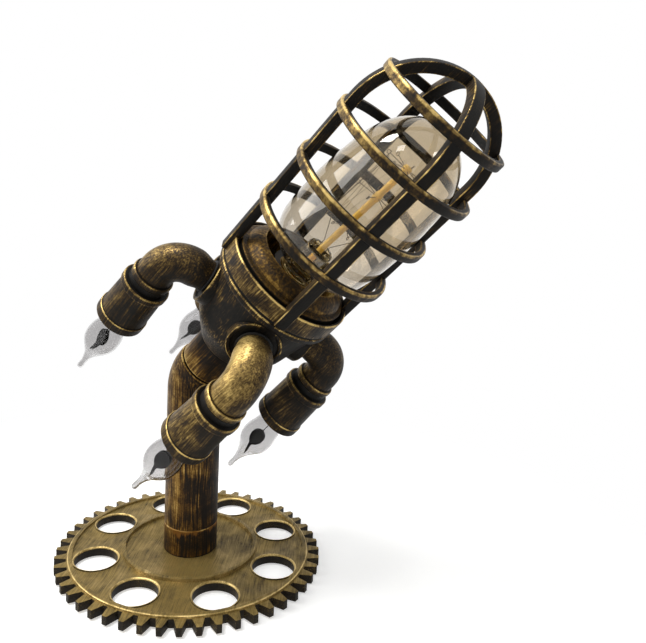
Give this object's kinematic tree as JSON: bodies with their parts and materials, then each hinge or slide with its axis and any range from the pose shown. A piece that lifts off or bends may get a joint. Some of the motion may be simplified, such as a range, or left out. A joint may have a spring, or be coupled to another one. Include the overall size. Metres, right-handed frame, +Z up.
{
  "type": "rocket lamp",
  "caption": "Free-standing desk lamp like a leaning rocket: gear foot, bent pipe column, hub with elbow arms holding flame bulbs, and a guard cage round a large bulb.",
  "frame": {"origin": "centre of the gear foot on the surface it rests on", "axes": "+Z up, +X the way the rocket leans, +Y across it"},
  "size_m": [0.317, 0.2, 0.359],
  "materials": {
    "bronzed_iron": "black paint dry-brushed with antique bronze",
    "bronzed_pipe": "black paint dry-brushed with antique bronze, satin",
    "bronzed_cage": "black paint dry-brushed with antique bronze, satin",
    "black_rubber": "matte",
    "grey_felt": "felt",
    "zinc_steel": "zinc plated",
    "white_ceramic": "glazed",
    "black_phenolic": "moulded",
    "brass": "satin",
    "amber_glass": "clear amber",
    "clear_glass": "clear",
    "filament_wire": "fine wire",
    "black_plate": "black oxide"
  },
  "bodies": {
    "stand": {"base_gear": "bronzed_iron", "foot_pads": "black_rubber", "base_felt": "grey_felt", "base_screws": "zinc_steel", "base_socket": "bronzed_pipe", "cord_grommet": "black_rubber", "column_pipe": "bronzed_pipe", "neck_sleeve": "bronzed_pipe", "hub": "bronzed_pipe", "arm_washers": "black_rubber", "lamp_flex": "black_rubber", "terminal_block": "white_ceramic", "holder_bracket": "zinc_steel", "bracket_screws": "zinc_steel", "holder_body": "black_phenolic", "holder_shell": "brass", "holder_contact": "brass", "holder_cap": "bronzed_cage"},
    "cage": {"cage_collar": "bronzed_cage", "cage_arch_a": "bronzed_cage", "cage_arch_b": "bronzed_cage", "cage_hoop_1": "bronzed_cage", "cage_hoop_2": "bronzed_cage", "cage_hoop_3": "bronzed_cage", "cage_hoop_nose": "bronzed_cage"},
    "main_bulb": {"bulb_glass": "amber_glass", "bulb_cap": "brass", "bulb_stem": "amber_glass", "bulb_filament": "filament_wire"},
    "arm_right": {"elbow_right": "bronzed_pipe", "cup_right": "bronzed_pipe", "small_holder_right": "white_ceramic", "small_contact_right": "brass"},
    "flame_right": {"flame_glass_right": "clear_glass", "flame_cap_right": "brass", "flame_plates_right": "black_plate"},
    "arm_rear": {"elbow_rear": "bronzed_pipe", "cup_rear": "bronzed_pipe", "small_holder_rear": "white_ceramic", "small_contact_rear": "brass"},
    "flame_rear": {"flame_glass_rear": "clear_glass", "flame_cap_rear": "brass", "flame_plates_rear": "black_plate"},
    "arm_left": {"elbow_left": "bronzed_pipe", "cup_left": "bronzed_pipe", "small_holder_left": "white_ceramic", "small_contact_left": "brass"},
    "flame_left": {"flame_glass_left": "clear_glass", "flame_cap_left": "brass", "flame_plates_left": "black_plate"},
    "arm_front": {"elbow_front": "bronzed_pipe", "cup_front": "bronzed_pipe", "small_holder_front": "white_ceramic", "small_contact_front": "brass"},
    "flame_front": {"flame_glass_front": "clear_glass", "flame_cap_front": "brass", "flame_plates_front": "black_plate"}
  },
  "joints": [
    {"name": "cage_lift", "type": "slide", "parent": "stand", "child": "cage", "axis": [0.7071, 0, 0.7071], "range_m": [0, 0.16]},
    {"name": "main_bulb_turn", "type": "hinge", "parent": "stand", "child": "main_bulb", "pos_m": [0.06013, 0, 0.20213], "axis": [0.7431, 0, 0.6691], "range_deg": [0, 340]},
    {"name": "arm_swivel_right", "type": "hinge", "parent": "stand", "child": "arm_right", "pos_m": [0.0566, 0, 0.1986], "axis": [0.5255, 0.6691, -0.5255], "range_deg": [-12, 12]},
    {"name": "flame_turn_right", "type": "hinge", "parent": "arm_right", "child": "flame_right", "pos_m": [0.09443, 0.04818, 0.16076], "axis": [-0.6632, -0.0648, -0.7457], "range_deg": [0, 340]},
    {"name": "arm_swivel_rear", "type": "hinge", "parent": "stand", "child": "arm_rear", "pos_m": [0.0566, 0, 0.1986], "axis": [-0.4731, 0.7431, 0.4731], "range_deg": [-12, 12]},
    {"name": "flame_turn_rear", "type": "hinge", "parent": "arm_rear", "child": "flame_rear", "pos_m": [0.02253, 0.05351, 0.23267], "axis": [-0.7206, -0.0175, -0.6931], "range_deg": [0, 340]},
    {"name": "arm_swivel_left", "type": "hinge", "parent": "stand", "child": "arm_left", "pos_m": [0.0566, 0, 0.1986], "axis": [-0.5255, -0.6691, 0.5255], "range_deg": [-12, 12]},
    {"name": "flame_turn_left", "type": "hinge", "parent": "arm_left", "child": "flame_left", "pos_m": [0.01876, -0.04818, 0.23643], "axis": [-0.7232, 0.0259, -0.6902], "range_deg": [0, 340]},
    {"name": "arm_swivel_front", "type": "hinge", "parent": "stand", "child": "arm_front", "pos_m": [0.0566, 0, 0.1986], "axis": [0.4731, -0.7431, -0.4731], "range_deg": [-12, 12]},
    {"name": "flame_turn_front", "type": "hinge", "parent": "arm_front", "child": "flame_front", "pos_m": [0.09066, -0.05351, 0.16453], "axis": [-0.7162, -0.0117, -0.6978], "range_deg": [0, 340]}
  ]
}
